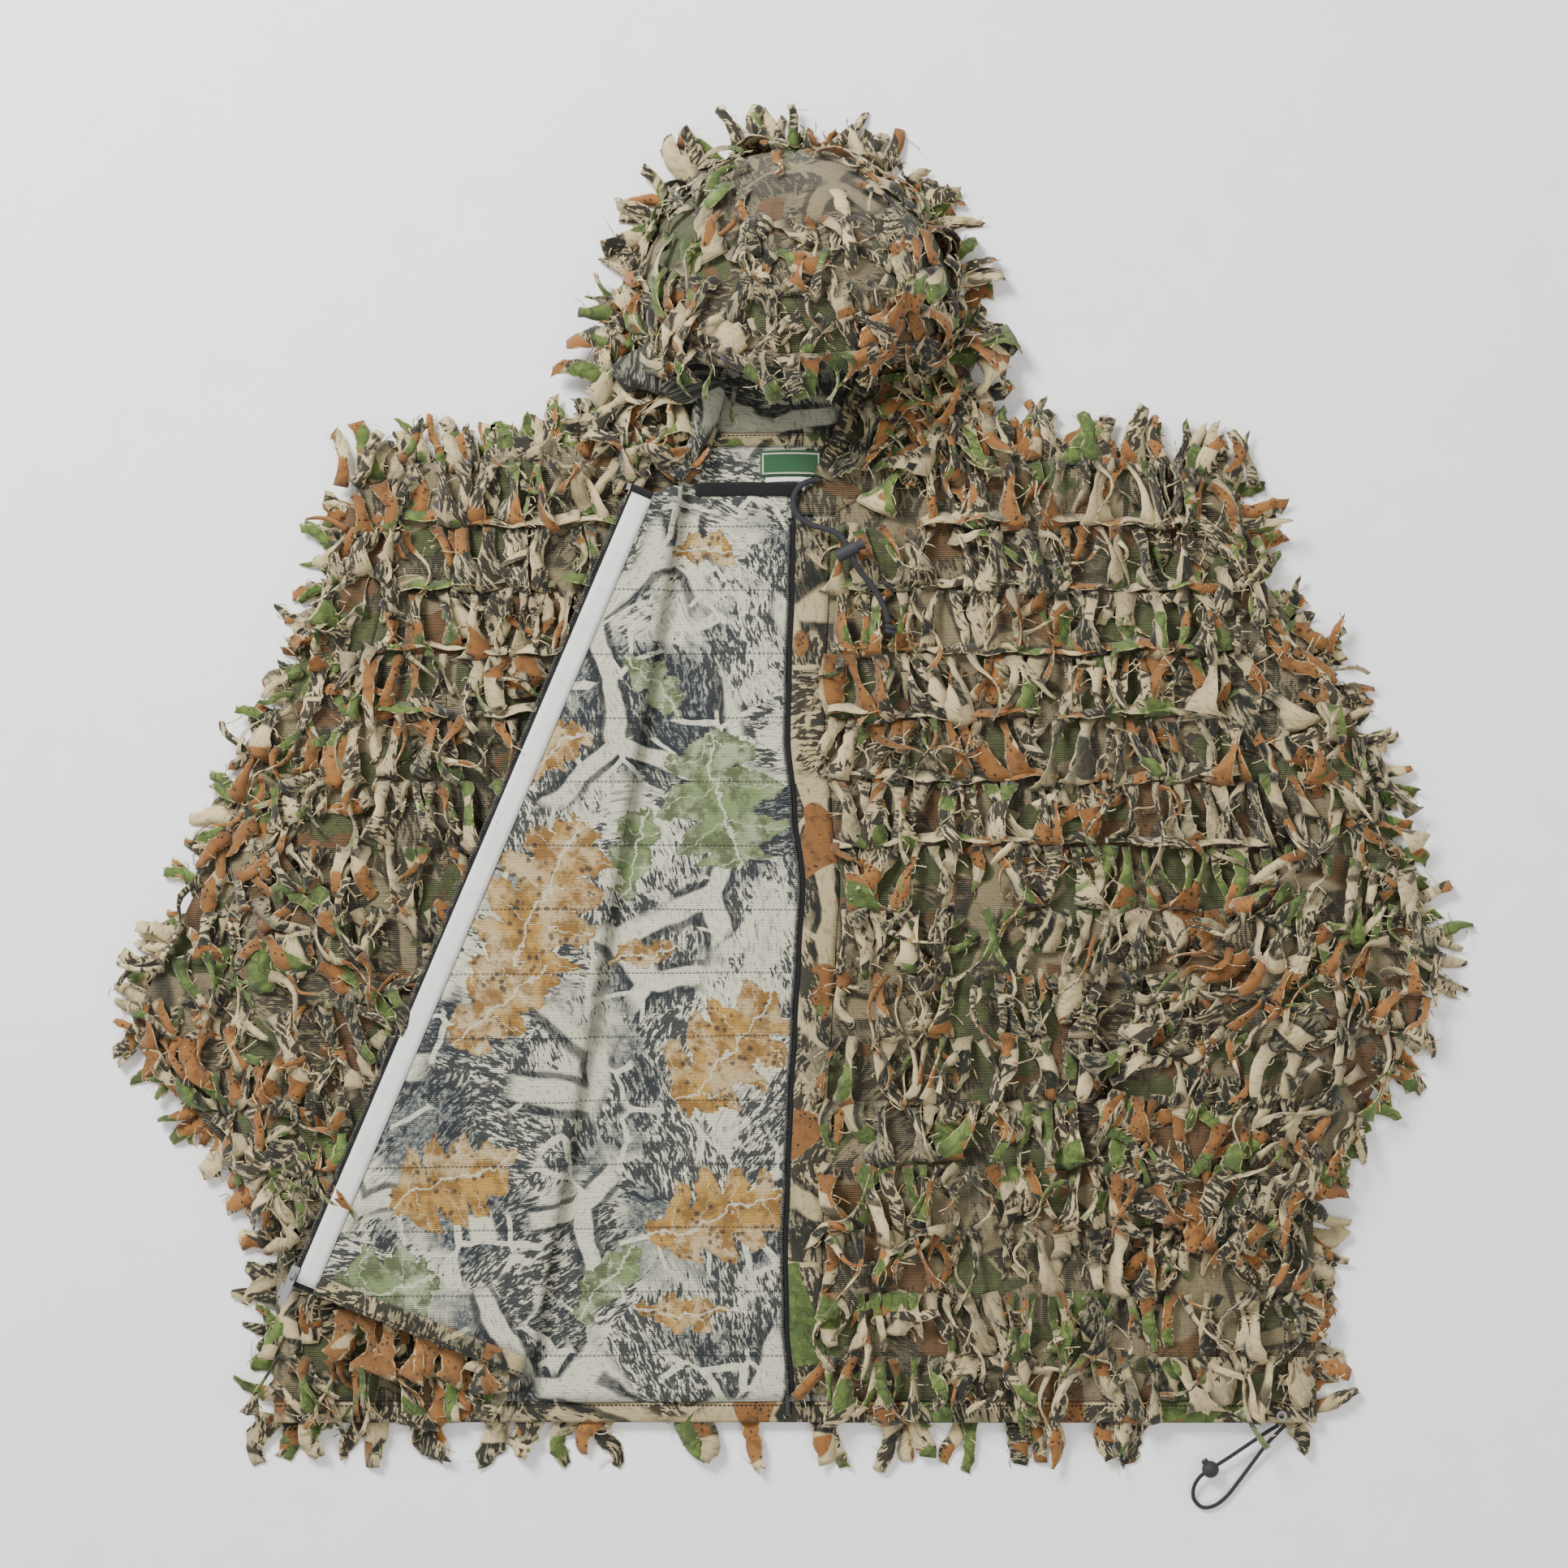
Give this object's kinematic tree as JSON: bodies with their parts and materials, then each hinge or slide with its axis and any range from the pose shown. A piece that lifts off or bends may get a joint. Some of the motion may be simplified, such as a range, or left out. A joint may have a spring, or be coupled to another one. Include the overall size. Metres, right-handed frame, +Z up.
{
  "type": "leafy ghillie jacket",
  "caption": "Hooded zip-front camouflage jacket covered in sewn rows of loose leaf-like fabric strips, laid flat with one front folded open to show its pale lining.",
  "frame": {"origin": "on the ground under the middle of the flat jacket's box, without its free cords", "axes": "+Z up off the surface it lies on, +X to the wearer's left, +Y from the hem to the hood"},
  "size_m": [0.9796, 1.0237, 0.1181],
  "materials": {
    "camouflage_cloth": "fine ribbed polyester printed with woodland bark and leaves, matte",
    "leaf_strips": "cut and frayed strips of the printed cloth, tan, rust, olive and charcoal, matte",
    "pale_lining": "pale reverse of the printed cloth, fine ribs, matte",
    "hem_band": "folded and stitched band of the printed cloth, matte",
    "black_tape": "woven black tape, matte",
    "white_tape": "white woven tape, matte",
    "green_label": "woven satin label, slight sheen",
    "zip_coil": "moulded nylon coil",
    "dull_metal": "dull grey plated zinc, worn at the edges",
    "black_plastic": "moulded black plastic, satin",
    "braided_cord": "tightly braided black cord",
    "elastic_cord": "black elastic cord with a woven cover",
    "spring_steel": "plain drawn spring wire"
  },
  "bodies": {
    "root": {"back_leaf_rows": "leaf_strips", "back_panel": "pale_lining", "back_hem": "hem_band", "hem_fringe": "leaf_strips", "left_front_panel": "camouflage_cloth", "left_front_placket": "camouflage_cloth", "left_front_hem": "hem_band", "left_front_leaf_rows": "leaf_strips", "left_zip_tape": "black_tape", "left_zip_coil": "zip_coil", "left_zip_top_stop": "dull_metal", "left_zip_pin": "zip_coil", "right_front_panel": "camouflage_cloth", "right_front_hem": "hem_band", "right_front_leaf_rows": "leaf_strips", "left_sleeve": "camouflage_cloth", "left_sleeve_under_leaf_rows": "leaf_strips", "left_sleeve_leaf_rows": "leaf_strips", "left_cuff": "hem_band", "right_sleeve": "camouflage_cloth", "right_sleeve_under_leaf_rows": "leaf_strips", "right_sleeve_leaf_rows": "leaf_strips", "right_cuff": "hem_band", "hood_back_panel": "pale_lining", "hood_under_leaf_rows": "leaf_strips", "hood_left_panel": "camouflage_cloth", "hood_left_casing": "camouflage_cloth", "hood_left_leaf_rows": "leaf_strips", "hood_right_panel": "camouflage_cloth", "hood_right_casing": "camouflage_cloth", "hood_right_leaf_rows": "leaf_strips", "neck_binding": "camouflage_cloth", "neck_label": "green_label", "neck_tape": "black_tape", "care_label": "white_tape", "hood_left_eyelet": "dull_metal", "hood_right_eyelet": "dull_metal", "hood_cord": "braided_cord", "hood_cord_knot": "braided_cord", "hood_lock_barrel": "black_plastic", "hood_lock_spring": "spring_steel", "hem_cord": "elastic_cord", "hem_toggle_ball": "black_plastic", "hem_toggle_spring": "spring_steel", "hem_eyelet": "dull_metal"},
    "front_flap": {"flap_panel": "pale_lining", "flap_hem": "hem_band", "flap_leaf_rows": "leaf_strips", "right_zip_tape": "black_tape", "right_zip_facing_tape": "white_tape", "right_zip_coil": "zip_coil", "right_zip_top_stop": "dull_metal", "right_zip_box": "dull_metal"},
    "zip_slider": {"zip_slider": "dull_metal"},
    "zip_pull_tab": {"zip_pull_tab": "dull_metal"},
    "hood_lock_button": {"hood_lock_button": "black_plastic"},
    "hem_toggle_button": {"hem_toggle_button": "black_plastic"}
  },
  "joints": [
    {"name": "front_flap_fold", "type": "hinge", "parent": "root", "child": "front_flap", "pos_m": [-0.18717, -0.43039, 0.01505], "axis": [0.1695, 0.9855, 0], "range_deg": [0, 165]},
    {"name": "zip_slider_slide", "type": "slide", "parent": "front_flap", "child": "zip_slider", "axis": [0.3904, 0.9204, -0.02], "range_m": [0, 0.58]},
    {"name": "pull_tab_hinge", "type": "hinge", "parent": "zip_slider", "child": "zip_pull_tab", "pos_m": [-0.35769, -0.35029, 0.04063], "axis": [-0.9166, 0.3906, 0.0848], "range_deg": [0, 170]},
    {"name": "hood_lock_press", "type": "slide", "parent": "root", "child": "hood_lock_button", "axis": [-0.8944, -0.4472, 0], "range_m": [0, 0.003], "stiffness_N_per_m": 300, "deforming": ["hood_lock_spring"]},
    {"name": "hem_toggle_press", "type": "slide", "parent": "root", "child": "hem_toggle_button", "axis": [0.5722, -0.8201, 0], "range_m": [0, 0.0016], "stiffness_N_per_m": 300, "deforming": ["hem_toggle_spring"]}
  ]
}
